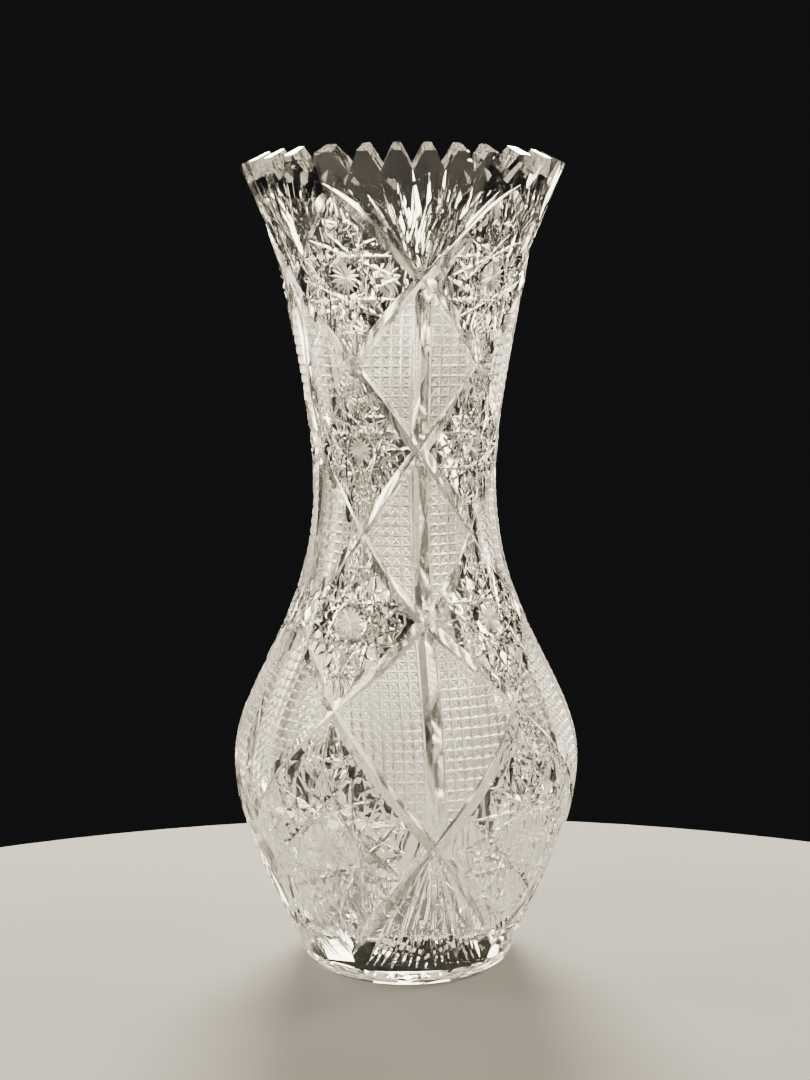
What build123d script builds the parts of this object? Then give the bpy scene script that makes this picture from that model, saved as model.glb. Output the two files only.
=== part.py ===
"""Cut crystal vase: one blown, cut and polished piece of lead crystal, in millimetres.

Frame: origin at the centre of the flat underside, +Z up the axis. A column of crossings faces -Y.
The outside is a lattice of long mitre (V) cuts. Each mitre climbs from the foot to the neck and
crosses its neighbours at alternate heights, so the crossings form ten columns: five that carry
split diamonds, and five halfway between that end in the broad teeth of the rim.
"""
from build123d import *
from math import atan2, cos, degrees, pi, radians, sin
import os

# Body of revolution, outside
height = 203.0
rim_radius = 40.0
neck_height = 124.0
neck_radius = 23.2
belly_height = 52.0
belly_radius = 44.4
foot_height = 4.0  # top of the rounded foot edge
foot_radius = 28.0
foot_edge = 2.7  # radius of the rounded foot edge
foot_slope = 0.54  # outward lean of the wall where it leaves the foot, radius per height
rim_slope = 0.47  # the same where the wall reaches the rim
taper_fullness = 0.645  # share of the way from foot to belly radius, halfway up the taper
shoulder_fullness = 0.36  # share of the way from neck to belly radius, halfway up the shoulder
flare_fullness = 0.31  # share of the way from neck to rim radius, halfway up the flare

# Inside
rim_wall = 4.3
rim_bevel = 2.2  # fall of the rim's top face from its inner to its outer edge
neck_wall = 5.2
belly_wall = 6.2
base_thickness = 12.0
floor_radius = 22.0  # flat part of the inner floor

# Lattice of mitre cuts
columns = 5
mitre_half_width = 1.7
mitre_depth = 1.15
second_pass = 0.06  # the mitres that lean the other way are cut this much deeper
collar = 10.2  # plain glass between the top crossings and the rim
shoulder_row = 19.8  # the lowest crossing of the close rows, above the widest height
close_legs = 6  # equal legs from the top crossings down to the shoulder row
foot_band = 8.2  # height of the lowest crossings
mitre_tip = 1.2  # how far a mitre runs on past its last crossing
split_half_width = 1.9
split_depth = 1.2
splits_per_column = 3
overshoot = 0.8  # how far a cutter stands out of the glass

# Teeth of the rim
tooth_depth = 4.7
tooth_pitch = 11.05  # degrees between the small teeth
small_teeth = 5  # in each sector, with one broad tooth between sectors
notch_half_width = 2.6
broad_flank = 4.0  # half width of a notch on the side of a broad tooth

# Star cut into the underside
star_cuts = 10
star_radius = 23.0
star_half_width = 1.9
star_depth = 1.0

sector = 360 / columns


def between(low, high, share):
    return low + (high - low) * share


def wall_curve():
    """Outer wall in the XZ plane, from the top of the foot edge to the rim."""
    points = [
        (foot_radius, 0, foot_height),
        (
            between(foot_radius, belly_radius, taper_fullness),
            0,
            between(foot_height, belly_height, 0.5),
        ),
        (belly_radius, 0, belly_height),
        (
            between(neck_radius, belly_radius, shoulder_fullness),
            0,
            between(belly_height, neck_height, 0.5),
        ),
        (neck_radius, 0, neck_height),
        (
            between(neck_radius, rim_radius, flare_fullness),
            0,
            between(neck_height, height, 0.5),
        ),
        (rim_radius, 0, height - rim_bevel),
    ]
    return Spline(*points, tangents=[(foot_slope, 0, 1), (rim_slope, 0, 1)])


def cavity_curve():
    """Inner wall in the XZ plane, from the floor to the mouth."""
    points = [
        (floor_radius, 0, base_thickness),
        (
            between(foot_radius, belly_radius, taper_fullness) - belly_wall,
            0,
            between(foot_height, belly_height, 0.5),
        ),
        (belly_radius - belly_wall, 0, belly_height),
        (
            between(neck_radius, belly_radius, shoulder_fullness) - neck_wall,
            0,
            between(belly_height, neck_height, 0.5),
        ),
        (neck_radius - neck_wall, 0, neck_height),
        (
            between(neck_radius, rim_radius, flare_fullness) - between(neck_wall, rim_wall, 0.5),
            0,
            between(neck_height, height, 0.5),
        ),
        (rim_radius - rim_wall, 0, height),
    ]
    return Spline(*points, tangents=[(1, 0, 0.25), (rim_slope, 0, 1)])


def at_height(curve, z):
    """Radius and outward lean of a wall curve at one height, found by halving."""
    low, high = 0.0, 1.0
    for _ in range(40):
        middle = (low + high) / 2
        if curve.position_at(middle, PositionMode.PARAMETER).Z < z:
            low = middle
        else:
            high = middle
    point = curve.position_at(low, PositionMode.PARAMETER)
    tangent = curve.tangent_at(low, PositionMode.PARAMETER)
    return point.X, tangent.X / tangent.Z


def blank(wall, cavity):
    """The uncut vase: wall, rounded foot edge, flat underside and cavity, turned about Z."""
    foot_flat = foot_radius - foot_edge
    foot_arc = Spline(
        (foot_flat, 0, 0), (foot_radius, 0, foot_height), tangents=[(1, 0, 0), (foot_slope, 0, 1)]
    )
    section = Face(
        Wire(
            [
                Line((0, 0, 0), (foot_flat, 0, 0)),
                foot_arc,
                wall,
                Line((rim_radius, 0, height - rim_bevel), (rim_radius - rim_wall, 0, height)),
                cavity,
                Line((floor_radius, 0, base_thickness), (0, 0, base_thickness)),
                Line((0, 0, base_thickness), (0, 0, 0)),
            ]
        )
    )
    return revolve(section, Axis.Z, 360)


def crossing_heights():
    """Heights of the crossings, from the top row down, alternating between the two columns."""
    top, shoulder = height - collar, belly_height + shoulder_row
    leg = (top - shoulder) / close_legs
    rows = [top - leg * k for k in range(close_legs + 1)]
    return rows + [between(shoulder, foot_band, 0.5), foot_band]


def groove(wall, stations, half_width, depth):
    """V cutter lofted along stations (azimuth in degrees, height, share of the full depth)."""
    path = []
    for azimuth, z, share in stations:
        radius, lean = at_height(wall, z)
        angle = radians(azimuth) - pi / 2
        path.append((radius, lean, angle, z, share))
    points = [Vector(r * cos(a), r * sin(a), z) for r, _, a, z, _ in path]
    sections = []
    for k, (_, lean, angle, _, share) in enumerate(path):
        along = (points[min(k + 1, len(points) - 1)] - points[max(k - 1, 0)]).normalized()
        normal = Vector(cos(angle), sin(angle), -lean).normalized()
        across = normal.cross(along).normalized()
        normal = along.cross(across)
        reach = half_width * share * (1 + overshoot / depth)
        crest = points[k] + normal * overshoot * share
        root = points[k] - normal * depth * share
        sections.append(Wire.make_polygon([crest - across * reach, root, crest + across * reach]))
    return Solid.make_loft(sections)


def mitre(wall, turn, depth):
    """One long mitre from above its top crossing to below its lowest; turn is +1 or -1."""
    heights = crossing_heights()
    stations = []
    for k, z in enumerate(heights):
        azimuth = turn * sector / 2 * k
        if k:
            middle = between(heights[k - 1], z, 0.5)
            stations.append((azimuth - turn * sector / 4, middle, 1.0))
        stations.append((azimuth, z, 1.0))
    first_lean = turn * sector / 2 / (heights[0] - heights[1])
    last_lean = turn * sector / 2 / (heights[-2] - heights[-1])
    stations.insert(0, (-first_lean * mitre_tip, heights[0] + mitre_tip, 0.25))
    stations.append((stations[-1][0] + last_lean * mitre_tip, heights[-1] - mitre_tip, 0.25))
    return groove(wall, stations, mitre_half_width, depth)


def split(wall, number):
    """Upright mitre that splits one diamond of a split column; number counts from the top."""
    heights = crossing_heights()[1::2]
    top, bottom = heights[number], heights[number + 1]
    stations = []
    for share_down in (0.04, 0.2, 0.5, 0.8, 0.96):
        depth_share = 1.0 if 0.1 < share_down < 0.9 else 0.35
        stations.append((0, between(top, bottom, share_down), depth_share))
    return groove(wall, stations, split_half_width, split_depth)


def notch(azimuth, left, right):
    """Wedge that cuts one valley of the rim; left and right are its half widths at the top.

    It falls outwards with the bevel of the rim, so that teeth and valleys show the same band.
    """
    grow = 1 + 2 * overshoot / tooth_depth
    wedge = Polygon(
        (-left * grow, 2 * overshoot), (right * grow, 2 * overshoot), (0, -tooth_depth), align=None
    )
    inner_edge = -(rim_radius - rim_wall)
    plane = Plane(origin=(0, inner_edge, height), x_dir=(1, 0, 0), z_dir=(0, -1, 0))
    cutter = extrude(plane * wedge, 2 * rim_wall, both=True)
    fall = degrees(atan2(rim_bevel, rim_wall))
    return cutter.rotate(Axis((0, inner_edge, height), (1, 0, 0)), fall).rotate(Axis.Z, azimuth)


def rim_notches():
    """The valleys of the sector about -Y, then the same turned to every sector."""
    edge = tooth_pitch * small_teeth / 2
    cutters = []
    for turn in range(columns):
        for k in range(small_teeth + 1):
            azimuth = turn * sector - edge + k * tooth_pitch
            left = broad_flank if k == 0 else notch_half_width
            right = broad_flank if k == small_teeth else notch_half_width
            cutters.append(notch(azimuth, left, right))
    return cutters


def base_star():
    """Straight V cuts across the underside, deepest where they meet."""
    section = Polygon((-star_half_width, 0), (star_half_width, 0), (0, star_depth), align=None)
    tip = Vertex(star_radius, 0, 0)
    ray = Solid.make_loft([Plane.YZ * section.faces()[0].outer_wire(), tip])
    return [ray.rotate(Axis.Z, 360 / (2 * star_cuts) * k) for k in range(2 * star_cuts)]


def vase():
    wall, cavity = wall_curve(), cavity_curve()
    body = blank(wall, cavity)
    cutters = []
    for turn, depth in ((1, mitre_depth), (-1, mitre_depth + second_pass)):
        cut = mitre(wall, turn, depth)
        cutters += [cut.rotate(Axis.Z, sector * (k + 0.5)) for k in range(columns)]
    for number in range(splits_per_column):
        cut = split(wall, number)
        cutters += [cut.rotate(Axis.Z, sector * k) for k in range(columns)]
    for cutter in cutters + rim_notches() + base_star():
        body = body - cutter
    return body


os.makedirs("parts", exist_ok=True)
export_step(vase(), "parts/vase.step")
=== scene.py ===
"""Cut crystal vase: the detailed glass, cut in mesh code out of a turned blank, in metres.

The blank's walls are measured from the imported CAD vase. Every pattern is then made as a cutter's
wheel makes it, as V grooves that follow the wall: mitres, splits, crosshatch, stars and fans.
"""
import math
from itertools import zip_longest

import bmesh
import bpy
import numpy as np
from mathutils import Matrix, Vector


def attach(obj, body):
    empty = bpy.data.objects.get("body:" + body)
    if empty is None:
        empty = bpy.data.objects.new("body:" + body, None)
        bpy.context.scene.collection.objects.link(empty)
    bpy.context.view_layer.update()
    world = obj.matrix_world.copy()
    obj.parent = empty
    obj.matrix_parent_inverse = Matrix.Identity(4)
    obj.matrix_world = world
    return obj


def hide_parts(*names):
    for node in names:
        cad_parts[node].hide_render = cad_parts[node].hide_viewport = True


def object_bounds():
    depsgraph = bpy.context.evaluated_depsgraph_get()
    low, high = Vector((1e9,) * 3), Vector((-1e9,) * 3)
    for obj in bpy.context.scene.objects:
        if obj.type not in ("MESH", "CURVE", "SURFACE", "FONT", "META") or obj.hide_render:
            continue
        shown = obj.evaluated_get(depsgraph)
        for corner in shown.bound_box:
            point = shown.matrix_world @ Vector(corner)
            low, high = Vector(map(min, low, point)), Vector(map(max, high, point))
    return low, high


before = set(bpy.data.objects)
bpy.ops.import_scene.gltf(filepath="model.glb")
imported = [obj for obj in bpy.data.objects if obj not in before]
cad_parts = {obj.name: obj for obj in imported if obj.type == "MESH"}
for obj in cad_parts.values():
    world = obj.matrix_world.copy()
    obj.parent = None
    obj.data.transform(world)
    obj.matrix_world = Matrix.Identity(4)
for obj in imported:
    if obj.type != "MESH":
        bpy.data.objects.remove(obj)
cad_low, cad_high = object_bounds()

MM = 0.001
HEIGHT = cad_high.z

# Lattice, as the CAD vase has it
COLUMNS = 5
SECTOR = 2 * math.pi / COLUMNS
COLLAR = 10.2 * MM  # from the top crossings to the rim
SHOULDER_ROW = 71.8 * MM  # lowest crossing of the close rows
CLOSE_LEGS = 6
FOOT_BAND = 8.2 * MM  # height of the lowest crossings
FOOT_TOP = 4.0 * MM
FOOT_EDGE = 2.7 * MM
RIM_BEVEL = 2.2 * MM
BASE_THICKNESS = 12.0 * MM
FLOOR_RISE = 2.5 * MM  # height over which the inner floor curves into the wall

# Teeth of the rim
TOOTH_DEPTH = 4.7 * MM
TOOTH_PITCH = math.radians(11.05)
SMALL_TEETH = 5
NOTCH_HALF = 2.6 * MM
BROAD_FLANK = 4.0 * MM

# Grooves: half width and depth
MITRE = (1.75 * MM, 1.2 * MM)
SPLIT = (2.4 * MM, 1.45 * MM)
HATCH = (0.74 * MM, 0.5 * MM)
HATCH_DIAGONAL = (0.58 * MM, 0.4 * MM)
HATCH_PITCH = 2.4 * MM
FAN = (1.35 * MM, 0.9 * MM)
FOOT_FAN = (1.75 * MM, 1.0 * MM)
FOOT_TIP = 5.2 * MM  # height that the long rays of the foot fans reach down to
FOOT_SPRAY = 9.5 * MM  # height at which the short ones end and their sprays fan out
SMALL_FAN = (0.75 * MM, 0.55 * MM)
BASE_STAR = (1.9 * MM, 1.0 * MM)
SIDE_FAN_PLACE = 0.3  # share of a field's side from its top or bottom corner
CLEARANCE = 0.35 * MM  # how far a cutter stands out of the glass

POLISHED, SATIN, GROUND = 0, 1, 2


# ---------------------------------------------------------------- walls measured from the frame


def natural_spline(x, y):
    """A natural cubic spline through the points, as a function of x."""
    x, y = np.asarray(x, float), np.asarray(y, float)
    h = np.diff(x)
    n = len(x)
    system, right = np.eye(n), np.zeros(n)
    for i in range(1, n - 1):
        system[i, i - 1 : i + 2] = h[i - 1], 2 * (h[i - 1] + h[i]), h[i]
        right[i] = 6 * ((y[i + 1] - y[i]) / h[i] - (y[i] - y[i - 1]) / h[i - 1])
    bend = np.linalg.solve(system, right)

    def value(at):
        at = np.asarray(at, float)
        i = np.clip(np.searchsorted(x, at) - 1, 0, n - 2)
        a, b = (x[i + 1] - at) / h[i], (at - x[i]) / h[i]
        curve = ((a**3 - a) * bend[i] + (b**3 - b) * bend[i + 1]) * h[i] ** 2 / 6
        return a * y[i] + b * y[i + 1] + curve

    return value


def measured_wall(low, high, stations, inside):
    """Spline through the CAD vase's outer or inner wall, read between its cuts by rays."""
    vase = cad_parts["vase"]
    into = vase.matrix_world.inverted()
    heights, radii = np.linspace(low, high, stations), []
    for z in heights:
        found = []
        for azimuth in np.linspace(0, 2 * math.pi, 90, endpoint=False):
            out = Vector((math.sin(azimuth), -math.cos(azimuth), 0))
            start = Vector((0, 0, z)) + (Vector() if inside else out * 0.2)
            hit, place, _, _ = vase.ray_cast(into @ start, out if inside else -out)
            if hit:
                found.append(math.hypot(place.x, place.y))
        radii.append(np.median(found) if inside else max(found))
    return natural_spline(heights, radii)


OUTER_TOP = HEIGHT - RIM_BEVEL
EDGE = 0.2 * MM
wall = measured_wall(FOOT_TOP, OUTER_TOP - EDGE, 12, inside=False)
cavity = measured_wall(BASE_THICKNESS + FLOOR_RISE, HEIGHT - EDGE, 12, inside=True)

HEIGHTS = np.linspace(0, HEIGHT, 800)
LEAN = np.gradient(wall(HEIGHTS), HEIGHTS)
ARC = np.concatenate([[0], np.cumsum(np.hypot(np.diff(HEIGHTS), np.diff(wall(HEIGHTS))))])


def arc_at(z):
    return np.interp(z, HEIGHTS, ARC)


def height_at(arc):
    return np.interp(arc, ARC, HEIGHTS)


# ---------------------------------------------------------------- the turned blank


def new_object(name, vertices, faces):
    mesh = bpy.data.meshes.new(name)
    mesh.from_pydata(vertices.tolist() if hasattr(vertices, "tolist") else vertices, [], faces)
    mesh.update()
    made = bpy.data.objects.new(name, mesh)
    bpy.context.scene.collection.objects.link(made)
    return made


def turned_blank(around=120):
    """Closed mesh of the uncut vase: foot, outer wall, bevelled rim, inner wall and floor."""
    foot_radius = float(wall(FOOT_TOP))
    turn = np.linspace(0, math.pi / 2, 7)
    foot = [
        (foot_radius - FOOT_EDGE + FOOT_EDGE * math.sin(t), FOOT_TOP * (1 - math.cos(t)))
        for t in turn[:-1]
    ]
    outside = [(float(wall(z)), z) for z in np.linspace(FOOT_TOP, OUTER_TOP, 70)]
    inside = [(float(cavity(z)), z) for z in np.linspace(HEIGHT, BASE_THICKNESS + FLOOR_RISE, 48)]
    last_radius, last_height = inside[-1]
    floor = []
    for t in np.linspace(0, 1, 9)[1:]:
        across = last_radius * (1 - t)
        floor.append((across, BASE_THICKNESS + (last_height - BASE_THICKNESS) * (1 - t) ** 3))
    profile = foot + outside + inside + floor[:-1]
    vertices = [(0, 0, 0)]
    for radius, z in profile:
        for k in range(around):
            a = 2 * math.pi * k / around
            vertices.append((radius * math.sin(a), -radius * math.cos(a), z))
    vertices.append((0, 0, BASE_THICKNESS))
    faces = [(0, 1 + (k + 1) % around, 1 + k) for k in range(around)]
    for row in range(len(profile) - 1):
        low, high = 1 + row * around, 1 + (row + 1) * around
        for k in range(around):
            n = (k + 1) % around
            faces.append((low + k, low + n, high + n, high + k))
    last, top = 1 + (len(profile) - 1) * around, len(vertices) - 1
    faces += [(last + k, last + (k + 1) % around, top) for k in range(around)]
    return new_object("vase_glass", vertices, faces)


# ---------------------------------------------------------------- cutting


def on_wall(azimuth, z):
    """Points and outward normals of the outer wall."""
    radius, lean = wall(z), np.interp(z, HEIGHTS, LEAN)
    s, c = np.sin(azimuth), np.cos(azimuth)
    points = np.stack([radius * s, -radius * c, z], -1)
    length = np.hypot(1, lean)
    normals = np.stack([s / length, -c / length, -lean / length], -1)
    return points, normals


def unit(vectors):
    return vectors / np.linalg.norm(vectors, axis=-1, keepdims=True)


def tapered(count, start, end, power=0.8, least=0.04):
    """Share of the full depth along a groove; start and end are the tapers' shares of its length."""
    t = np.linspace(0, 1, count)
    share = np.ones(count)
    if start:
        share = np.minimum(share, t / start)
    if end:
        share = np.minimum(share, (1 - t) / end)
    return np.maximum(np.clip(share, 0, 1) ** power, least)


def wedges(points, normals, share, size):
    """V-shaped prisms along rows of points, as vertices and faces of one mesh.

    size is a half width and a depth, each one number or one for each row.
    """
    half, depth = (np.reshape(value, (-1, 1)) for value in size)
    along = unit(np.gradient(points, axis=1))
    across = unit(np.cross(normals, along))
    out = np.cross(along, across)
    sink = (depth * share)[..., None]
    reach = (half / depth)[..., None] * (sink + CLEARANCE)
    left = points + out * CLEARANCE - across * reach
    right = points + out * CLEARANCE + across * reach
    root = points - out * sink
    grooves, stations = points.shape[:2]
    ring = np.stack([left, root, right], 2)
    faces = []
    for g in range(grooves):
        first = g * stations * 3
        faces.append((first + 2, first + 1, first))
        for s in range(stations - 1):
            a = first + s * 3
            for k in range(3):
                n = (k + 1) % 3
                faces.append((a + k, a + n, a + n + 3, a + k + 3))
        a = first + (stations - 1) * 3
        faces.append((a, a + 1, a + 2))
    return ring.reshape(-1, 3), faces


def carve(body, vertices, faces, finish=POLISHED):
    """Cut one set of separate wedges out of the body."""
    cutter = new_object("cutter", vertices, faces)
    for material in MATERIALS:
        cutter.data.materials.append(material)
    cutter.data.polygons.foreach_set("material_index", np.full(len(faces), finish, np.int32))
    cut = body.modifiers.new("cut", "BOOLEAN")
    cut.object, cut.operation, cut.solver = cutter, "DIFFERENCE", "MANIFOLD"
    graph = bpy.context.evaluated_depsgraph_get()
    before = body.data
    body.data = bpy.data.meshes.new_from_object(body.evaluated_get(graph))
    body.modifiers.clear()
    bpy.data.meshes.remove(before)
    used = cutter.data
    bpy.data.objects.remove(cutter)
    bpy.data.meshes.remove(used)


def groove_set(body, azimuth, z, share, size, finish=POLISHED):
    """Cut rows of grooves given as arrays of azimuth and height, one row per groove."""
    points, normals = on_wall(azimuth, z)
    share = np.broadcast_to(share, z.shape)
    carve(body, *wedges(points, normals, share, size), finish)


def from_flat(column, z, across, up):
    """Azimuth and height of flat places, measured along the wall from a point on it."""
    heights = height_at(arc_at(z) + up)
    return column + across / wall(heights), heights


def lines(places, stations):
    """Rows of flat points along straight lines given as (x0, y0, x1, y1)."""
    places = np.asarray(places, float)
    t = np.linspace(0, 1, stations)
    across = places[:, 0:1] + (places[:, 2:3] - places[:, 0:1]) * t
    up = places[:, 1:2] + (places[:, 3:4] - places[:, 1:2]) * t
    return across, up


def every_sector(azimuth, z):
    """The same rows in all sectors."""
    turns = np.arange(COLUMNS) * SECTOR
    azimuth = (azimuth[None] + turns[:, None, None]).reshape(-1, azimuth.shape[-1])
    return azimuth, np.tile(z, (COLUMNS, 1))


def flat_grooves(body, column, rows, share, finish=POLISHED):
    """Cut one set of straight grooves, the same in all sectors, that don't overlap.

    rows are (height of the origin, (x0, y0, x1, y1) along the wall from there, half width, depth).
    """
    azimuths, heights, halves, depths = [], [], [], []
    for z0, ends, half, depth in rows:
        azimuth, z = from_flat(column, z0, *lines([ends], len(share)))
        azimuths.append(azimuth)
        heights.append(z)
        halves.append(half)
        depths.append(depth)
    size = (np.tile(halves, COLUMNS), np.tile(depths, COLUMNS))
    grooves = every_sector(np.concatenate(azimuths), np.concatenate(heights))
    groove_set(body, *grooves, share, size, finish)


# ---------------------------------------------------------------- the lattice of crossings

top_row = HEIGHT - COLLAR
leg = (top_row - SHOULDER_ROW) / CLOSE_LEGS
ROWS = [top_row - leg * k for k in range(CLOSE_LEGS + 1)]
ROWS += [(SHOULDER_ROW + FOOT_BAND) / 2, FOOT_BAND]
mitre_turn = natural_spline(ROWS[::-1], [SECTOR / 2 * k for k in range(len(ROWS))][::-1])


def mitres(body):
    z = np.linspace(ROWS[0] + 1.5 * MM, ROWS[-1], 90)
    share = tapered(len(z), 0.03, 0.07, power=0.6)
    for side in (1, -1):
        azimuth = SECTOR / 2 + side * mitre_turn(z)
        groove_set(body, *every_sector(azimuth[None], z[None]), share, MITRE, GROUND)


def splits(body):
    for high, low in zip(ROWS[1:-2:2], ROWS[3::2]):
        z = np.linspace(high, low, 30)
        share = tapered(len(z), 0.08, 0.08, power=0.6)
        groove_set(body, *every_sector(np.zeros((1, len(z))), z[None]), share, SPLIT, GROUND)


def panel_lines(high, low, direction, pitch):
    """Straight flat lines across one diamond panel, clipped to it and its split, as end points."""
    z0 = (high + low) / 2
    reach = (arc_at(high) - arc_at(low)) / 2 + 1 * MM
    width = SECTOR / 2 * float(wall(z0)) + 4 * MM
    size = max(reach, width) * 1.5
    d = np.array([math.cos(direction), math.sin(direction)])
    n = np.array([-d[1], d[0]])
    t = np.linspace(-size, size, 900)
    found = []
    count = int(size / pitch)
    offsets = (np.arange(-count, count + 1)) * pitch
    for offset in offsets:
        across, up = (d[:, None] * t + n[:, None] * offset)
        z = height_at(arc_at(z0) + up)
        half = np.abs(mitre_turn(z) % SECTOR - SECTOR / 2)
        inside = (np.abs(across) < half * wall(z) - 0.9 * MM) & (np.abs(up) < reach - 1.6 * MM)
        inside &= np.abs(across) > SPLIT[0] - 0.3 * MM
        ends = np.flatnonzero(np.diff(np.concatenate([[False], inside, [False]])))
        for first, last in zip(ends[::2], ends[1::2] - 1):
            if last - first > 8:
                found.append((across[first], up[first], across[last], up[last]))
    return z0, found


def crosshatch(body):
    """Four directions of fine grooves in every split panel."""
    for direction, pitch, size in (
        (0, HATCH_PITCH, HATCH),
        (math.pi / 2, HATCH_PITCH, HATCH),
        (math.pi / 4, HATCH_PITCH / math.sqrt(2), HATCH_DIAGONAL),
        (-math.pi / 4, HATCH_PITCH / math.sqrt(2), HATCH_DIAGONAL),
    ):
        azimuths, heights = [], []
        for high, low in zip(ROWS[1:-2:2], ROWS[3::2]):
            z0, found = panel_lines(high, low, direction, pitch)
            azimuth, z = from_flat(0, z0, *lines(found, 12))
            azimuths.append(azimuth)
            heights.append(z)
        rows = every_sector(np.concatenate(azimuths), np.concatenate(heights))
        groove_set(body, *rows, 1.0, size, SATIN)


def star_fields():
    """Centre height, half height and half width of the diamond fields in a star column."""
    fields = []
    for high, low in zip(ROWS[0:-2:2], ROWS[2::2]):
        middle = float(height_at((arc_at(high) + arc_at(low)) / 2))
        half_height = float(arc_at(high) - arc_at(low)) / 2
        fields.append((middle, half_height, SECTOR / 2 * float(wall(middle))))
    return fields


STAR_POINTS = 16
STAR_STEP = 6  # points that a chord passes over
STAR_CHORD = (0.075, 0.05)  # half width and depth, as shares of the star's radius
BUTTON_CUTS = 8
BUTTON_REACH = 0.30  # share of the star's radius
BUTTON_CUT = (0.05, 0.035)  # half width and depth, as shares of the star's radius


def star_radius(half_height, half_width):
    inscribed = half_height * half_width / math.hypot(half_height, half_width)
    return inscribed - 0.5 * MITRE[0]


def hobstars(body):
    """Stars of long chords round a raised button, which is cut across like a small star."""
    fields = [(z, star_radius(h, w)) for z, h, w in star_fields()]
    for k in range(STAR_POINTS):
        a = 2 * math.pi * k / STAR_POINTS
        b = 2 * math.pi * (k + STAR_STEP) / STAR_POINTS
        rows = []
        for z0, radius in fields:
            ends = [radius * f(angle) for angle in (a, b) for f in (math.cos, math.sin)]
            rows.append((z0, ends, STAR_CHORD[0] * radius, STAR_CHORD[1] * radius))
        flat_grooves(body, SECTOR / 2, rows, tapered(16, 0.3, 0.3))
    for k in range(BUTTON_CUTS):
        a = math.pi * (k + 0.5) / BUTTON_CUTS
        rows = []
        for z0, radius in fields:
            reach = BUTTON_REACH * radius
            dx, dy = reach * math.cos(a), reach * math.sin(a)
            size = (BUTTON_CUT[0] * radius, BUTTON_CUT[1] * radius)
            rows.append((z0, (-dx, -dy, dx, dy), *size))
        flat_grooves(body, SECTOR / 2, rows, tapered(8, 0.3, 0.3), SATIN)


def ray(z0, angle, first, last, size):
    """One row of a fan; angle is from straight up, and first and last are radii."""
    s, c = math.sin(angle), math.cos(angle)
    return (z0, (first * s, first * c, last * s, last * c), *size)


FAN_SPREAD = 0.80  # width of a long fan, as a share of the half sector
RIM_TIP = (6.2 * MM, 4.2 * MM, 0.8 * MM)  # below the rim: in the middle, more at the sides, odd rays
SPRAY_STEP = 0.13  # between the thin rays of a spray, as a share of the fan
SPRAY_START = 0.66  # share of a thin ray's way at which it starts


def fan_row(z0, tip, side, facing, size, first=1 * MM):
    """A ray from a crossing to the height of its tip, at a share of the half sector sideways."""
    across = side * FAN_SPREAD * SECTOR / 2 * float(wall(tip))
    along = abs(float(arc_at(tip) - arc_at(z0)))
    angle = facing + math.atan2(across, along) * math.cos(facing)
    return ray(z0, angle, first, math.hypot(across, along), size)


def rim_rays(rays=11):
    """Rays from the top crossings of the split columns up to the teeth."""
    found = []
    for k in range(rays):
        side = 2 * k / (rays - 1) - 1
        tip = HEIGHT - RIM_TIP[0] - RIM_TIP[1] * side**2 - RIM_TIP[2] * (k % 2)
        found.append(fan_row(ROWS[1], tip, side, 0, FAN))
    return found


def foot_rays(rays=7, thin=3):
    """Wide rays from the lowest crossings down; every other one ends short, in a thin spray."""
    wide, sprays = [], [[] for _ in range(thin)]
    for k in range(rays):
        side = 0.9 * (2 * k / (rays - 1) - 1)
        short = k % 2 == 0
        wide.append(fan_row(ROWS[-2], FOOT_SPRAY if short else FOOT_TIP, side, math.pi, FOOT_FAN))
        if short:
            for j, rows in enumerate(sprays):
                aside = side + SPRAY_STEP * (j - (thin - 1) / 2)
                tip = FOOT_TIP + 0.6 * MM
                z0, ends, *size = fan_row(ROWS[-2], tip, aside, math.pi, SMALL_FAN)
                start = (SPRAY_START * ends[2], SPRAY_START * ends[3])
                rows.append((z0, (*start, ends[2], ends[3]), *size))
    return wide, sprays


def long_fans(body):
    """Rim and foot fans, each ray of one cut together with a ray of the other."""
    wide, sprays = foot_rays()
    for rows in zip_longest(rim_rays(), wide):
        flat_grooves(body, 0, [row for row in rows if row], tapered(14, 0.06, 0.45))
    for rows in sprays:
        flat_grooves(body, 0, rows, tapered(8, 0.2, 0.5))


def corner_fans(body, rays=5):
    """Small fans in the corners of the star fields, from each crossing towards the star."""
    for k in range(rays):
        side = (k - (rays - 1) / 2) / ((rays - 1) / 2)
        rows = []
        for z0, half_height, half_width in star_fields():
            gap = half_height - 0.86 * star_radius(half_height, half_width)
            spread = math.atan2(half_width, half_height) * 0.62
            for up in (1, -1):
                corner = float(height_at(arc_at(z0) + up * half_height))
                angle = side * spread + (math.pi if up > 0 else 0)
                rows.append(ray(corner, angle, 1.8 * MM, gap * (1 + 0.25 * abs(side)), SMALL_FAN))
        flat_grooves(body, SECTOR / 2, rows, tapered(8, 0.2, 0.5))


def side_fans(body, rays=4):
    """Small fans on the sides of the star fields, beside the mitres, towards the star."""
    for k in range(rays):
        turn = ((k + 0.5) / rays - 0.5) * math.radians(95)
        rows = []
        for z0, half_height, half_width in star_fields():
            side = math.hypot(half_height, half_width)
            for left in (1, -1):
                for up in (1, -1):
                    x = left * (SIDE_FAN_PLACE * half_width - 1.1 * MITRE[0] * half_height / side)
                    y = up * ((1 - SIDE_FAN_PLACE) * half_height - 1.1 * MITRE[0] * half_width / side)
                    angle = math.atan2(-left * half_height, -up * half_width) + turn
                    s, c = math.sin(angle), math.cos(angle)
                    first, last = 0.5 * MM, 0.17 * side
                    ends = (x + first * s, y + first * c, x + last * s, y + last * c)
                    rows.append((z0, ends, *SMALL_FAN))
        flat_grooves(body, SECTOR / 2, rows, tapered(8, 0.2, 0.5))


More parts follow.
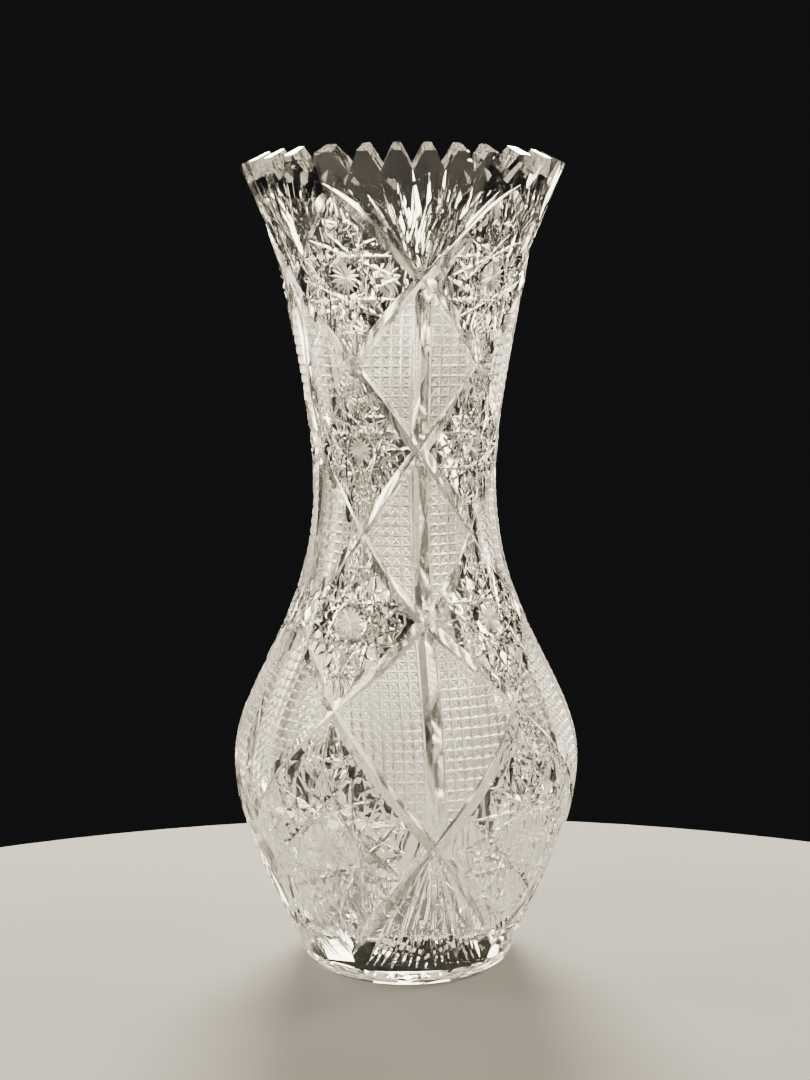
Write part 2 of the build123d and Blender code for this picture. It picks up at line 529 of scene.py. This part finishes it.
def rim_teeth(body):
    """Valleys of the rim, which fall outwards with its bevel."""
    rim_radius, mouth_radius = float(wall(OUTER_TOP)), float(cavity(HEIGHT))
    thickness = rim_radius - mouth_radius
    fall = math.atan2(RIM_BEVEL, thickness)
    rise = 1.6 * MM
    grow = 1 + rise / TOOTH_DEPTH
    vertices, faces = [], []
    for sector in range(COLUMNS):
        for k in range(SMALL_TEETH + 1):
            azimuth = sector * SECTOR + (k - SMALL_TEETH / 2) * TOOTH_PITCH
            left = BROAD_FLANK if k == 0 else NOTCH_HALF
            right = BROAD_FLANK if k == SMALL_TEETH else NOTCH_HALF
            side = Vector((math.cos(azimuth), math.sin(azimuth), 0))
            out = Vector((math.sin(azimuth), -math.cos(azimuth), 0))
            run = (out * math.cos(fall) - Vector((0, 0, math.sin(fall)))).normalized()
            up = side.cross(run)
            up *= math.copysign(1, up.z)
            origin = out * mouth_radius + Vector((0, 0, HEIGHT))
            first = len(vertices)
            for far in (-1.6 * thickness, 2.2 * thickness):
                middle = origin + run * far
                vertices += [
                    middle - side * left * grow + up * rise,
                    middle - up * TOOTH_DEPTH,
                    middle + side * right * grow + up * rise,
                ]
            a = first
            faces += [(a + 2, a + 1, a), (a + 3, a + 4, a + 5)]
            faces += [
                (a + k2, a + (k2 + 1) % 3, a + (k2 + 1) % 3 + 3, a + k2 + 3) for k2 in range(3)
            ]
    flat = np.array([tuple(v) for v in vertices])
    carve(body, flat, faces)


def base_star(body, cuts=10, radius=23 * MM):
    """Straight grooves across the underside, deepest at its centre."""
    for k in range(cuts):
        a = math.pi * k / cuts
        x = np.linspace(-radius, radius, 9)
        points = np.stack([x * math.cos(a), x * math.sin(a), x * 0], -1)[None]
        normals = np.zeros_like(points)
        normals[..., 2] = -1
        share = np.maximum(1 - np.abs(x) / radius, 0.02)[None]
        carve(body, *wedges(points, normals, share, BASE_STAR))


# ---------------------------------------------------------------- materials


def crystal(name, roughness, grain):
    """Lead crystal; the wide cuts are a little less polished than the wall, the crosshatch satin."""
    material = bpy.data.materials.new(name)
    material.use_nodes = True
    nodes, links = material.node_tree.nodes, material.node_tree.links
    shader = nodes["Principled BSDF"]
    shader.inputs["Base Color"].default_value = (0.985, 0.985, 0.97, 1)
    shader.inputs["Transmission Weight"].default_value = 1.0
    shader.inputs["IOR"].default_value = 1.55
    place = nodes.new("ShaderNodeTexCoord")
    noise = nodes.new("ShaderNodeTexNoise")
    noise.inputs["Scale"].default_value = grain
    noise.inputs["Detail"].default_value = 4
    links.new(place.outputs["Object"], noise.inputs["Vector"])
    spread = nodes.new("ShaderNodeMapRange")
    spread.inputs["To Min"].default_value = roughness[0]
    spread.inputs["To Max"].default_value = roughness[1]
    links.new(noise.outputs["Fac"], spread.inputs["Value"])
    links.new(spread.outputs["Result"], shader.inputs["Roughness"])
    return material


MATERIALS = [
    crystal("crystal_polished", (0.0, 0.03), 120),
    crystal("crystal_satin", (0.23, 0.34), 900),
    crystal("crystal_ground", (0.10, 0.14), 300),
]


def vase():
    body = turned_blank()
    for material in MATERIALS:
        body.data.materials.append(material)
    for job in (
        mitres, splits, crosshatch, hobstars, corner_fans, side_fans, long_fans, rim_teeth, base_star,
    ):
        job(body)
    return body


def drop_chips(body, least=50):
    """Removes the loose specks of glass that crossing grooves leave."""
    shape = bmesh.new()
    shape.from_mesh(body.data)
    unseen, chips = set(shape.verts), []
    while unseen:
        edge = [unseen.pop()]
        island = list(edge)
        while edge:
            for link in edge.pop().link_edges:
                for vertex in link.verts:
                    if vertex in unseen:
                        unseen.remove(vertex)
                        edge.append(vertex)
                        island.append(vertex)
        if len(island) < least:
            chips += island
    bmesh.ops.delete(shape, geom=chips, context="VERTS")
    shape.to_mesh(body.data)
    shape.free()


def finish_surface(body):
    """Smooth shading on the turned and wheel-cut faces, sharp between them."""
    body.data.polygons.foreach_set("use_smooth", np.ones(len(body.data.polygons), bool))
    bpy.context.view_layer.objects.active = body
    with bpy.context.temp_override(object=body, active_object=body, selected_objects=[body],
                                   selected_editable_objects=[body]):
        bpy.ops.object.shade_smooth_by_angle(angle=math.radians(12))


glass = vase()
drop_chips(glass)
finish_surface(glass)
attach(glass, "root")
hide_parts("vase")


# ---------------------------------------------------------------- stage, lights and camera

CAMERA_AZIMUTH = math.radians(-9)
TABLE_GAP = 0.1 * MM  # so that light leaving the underside meets the table
WARM = (1.0, 0.87, 0.63)


def plain(name, colour, roughness):
    material = bpy.data.materials.new(name)
    material.use_nodes = True
    shader = material.node_tree.nodes["Principled BSDF"]
    shader.inputs["Base Color"].default_value = (*colour, 1)
    shader.inputs["Specular IOR Level"].default_value = 0
    shader.inputs["Roughness"].default_value = roughness
    return material


def floor_disc(radius=0.31, far_edge=0.11, around=128):
    """Round table top that ends a little way behind the vase, as seen from the camera."""
    middle = radius - far_edge
    vertices = [
        (
            radius * math.cos(2 * math.pi * k / around) + middle * math.sin(CAMERA_AZIMUTH),
            radius * math.sin(2 * math.pi * k / around) - middle * math.cos(CAMERA_AZIMUTH),
            -TABLE_GAP,
        )
        for k in range(around)
    ]
    disc = new_object("floor", vertices, [tuple(range(around))])
    disc.data.materials.append(plain("pale_floor", (0.2, 0.205, 0.215), 0.9))


def area_light(name, place, size, power, colour=(1, 1, 1), aim_height=HEIGHT / 2):
    data = bpy.data.lights.new(name, "AREA")
    data.shape, data.size, data.energy, data.color = "DISK", size, power, colour
    lamp = bpy.data.objects.new(name, data)
    lamp.location = place
    aim = Vector((0, 0, aim_height)) - lamp.location
    lamp.rotation_euler = aim.to_track_quat("-Z", "Y").to_euler()
    bpy.context.scene.collection.objects.link(lamp)


def studio():
    floor_disc()
    area_light("back_top", (0.1, 0.75, 0.56), 0.5, 65, WARM, 0.8 * HEIGHT)
    area_light("back_left", (-0.65, 0.8, 0.33), 0.35, 11, WARM)
    area_light("back_right", (0.65, 0.8, 0.25), 0.35, 11, WARM)
    area_light("front", (-0.6, -0.7, 0.55), 0.4, 9.5, WARM)
    area_light("left", (-0.75, 0.05, 0.5), 0.35, 9, WARM)
    area_light("right", (0.75, 0.0, 0.52), 0.3, 9, WARM)
    world = bpy.data.worlds.new("studio")
    world.use_nodes = True
    world.node_tree.nodes["Background"].inputs["Color"].default_value = (0.008, 0.008, 0.009, 1)
    bpy.context.scene.world = world


def light_paths():
    """Cut glass sends light through many facets, so more bounces are followed than usual."""
    paths = bpy.context.scene.cycles
    paths.max_bounces = paths.transmission_bounces = 32
    paths.glossy_bounces = 16


def camera():
    """At the photograph's distance, height and lens; the split column stands a little right."""
    data = bpy.data.cameras.new("camera")
    data.lens, data.sensor_width = 53.3, 36
    view = bpy.data.objects.new("camera", data)
    azimuth, pitch, roll = CAMERA_AZIMUTH, math.radians(7.66), math.radians(0.35)
    away = 1.99 * HEIGHT
    view.location = (away * math.sin(azimuth), -away * math.cos(azimuth), 0.799 * HEIGHT)
    view.rotation_mode = "XYZ"
    look = Vector((-math.sin(azimuth) * math.cos(pitch), math.cos(azimuth) * math.cos(pitch),
                   -math.sin(pitch)))
    turn = look.to_track_quat("-Z", "Y").to_matrix().to_4x4()
    view.rotation_euler = (turn @ Matrix.Rotation(-roll, 4, "Z")).to_euler()
    bpy.context.scene.collection.objects.link(view)
    bpy.context.scene.camera = view


studio()
light_paths()
camera()
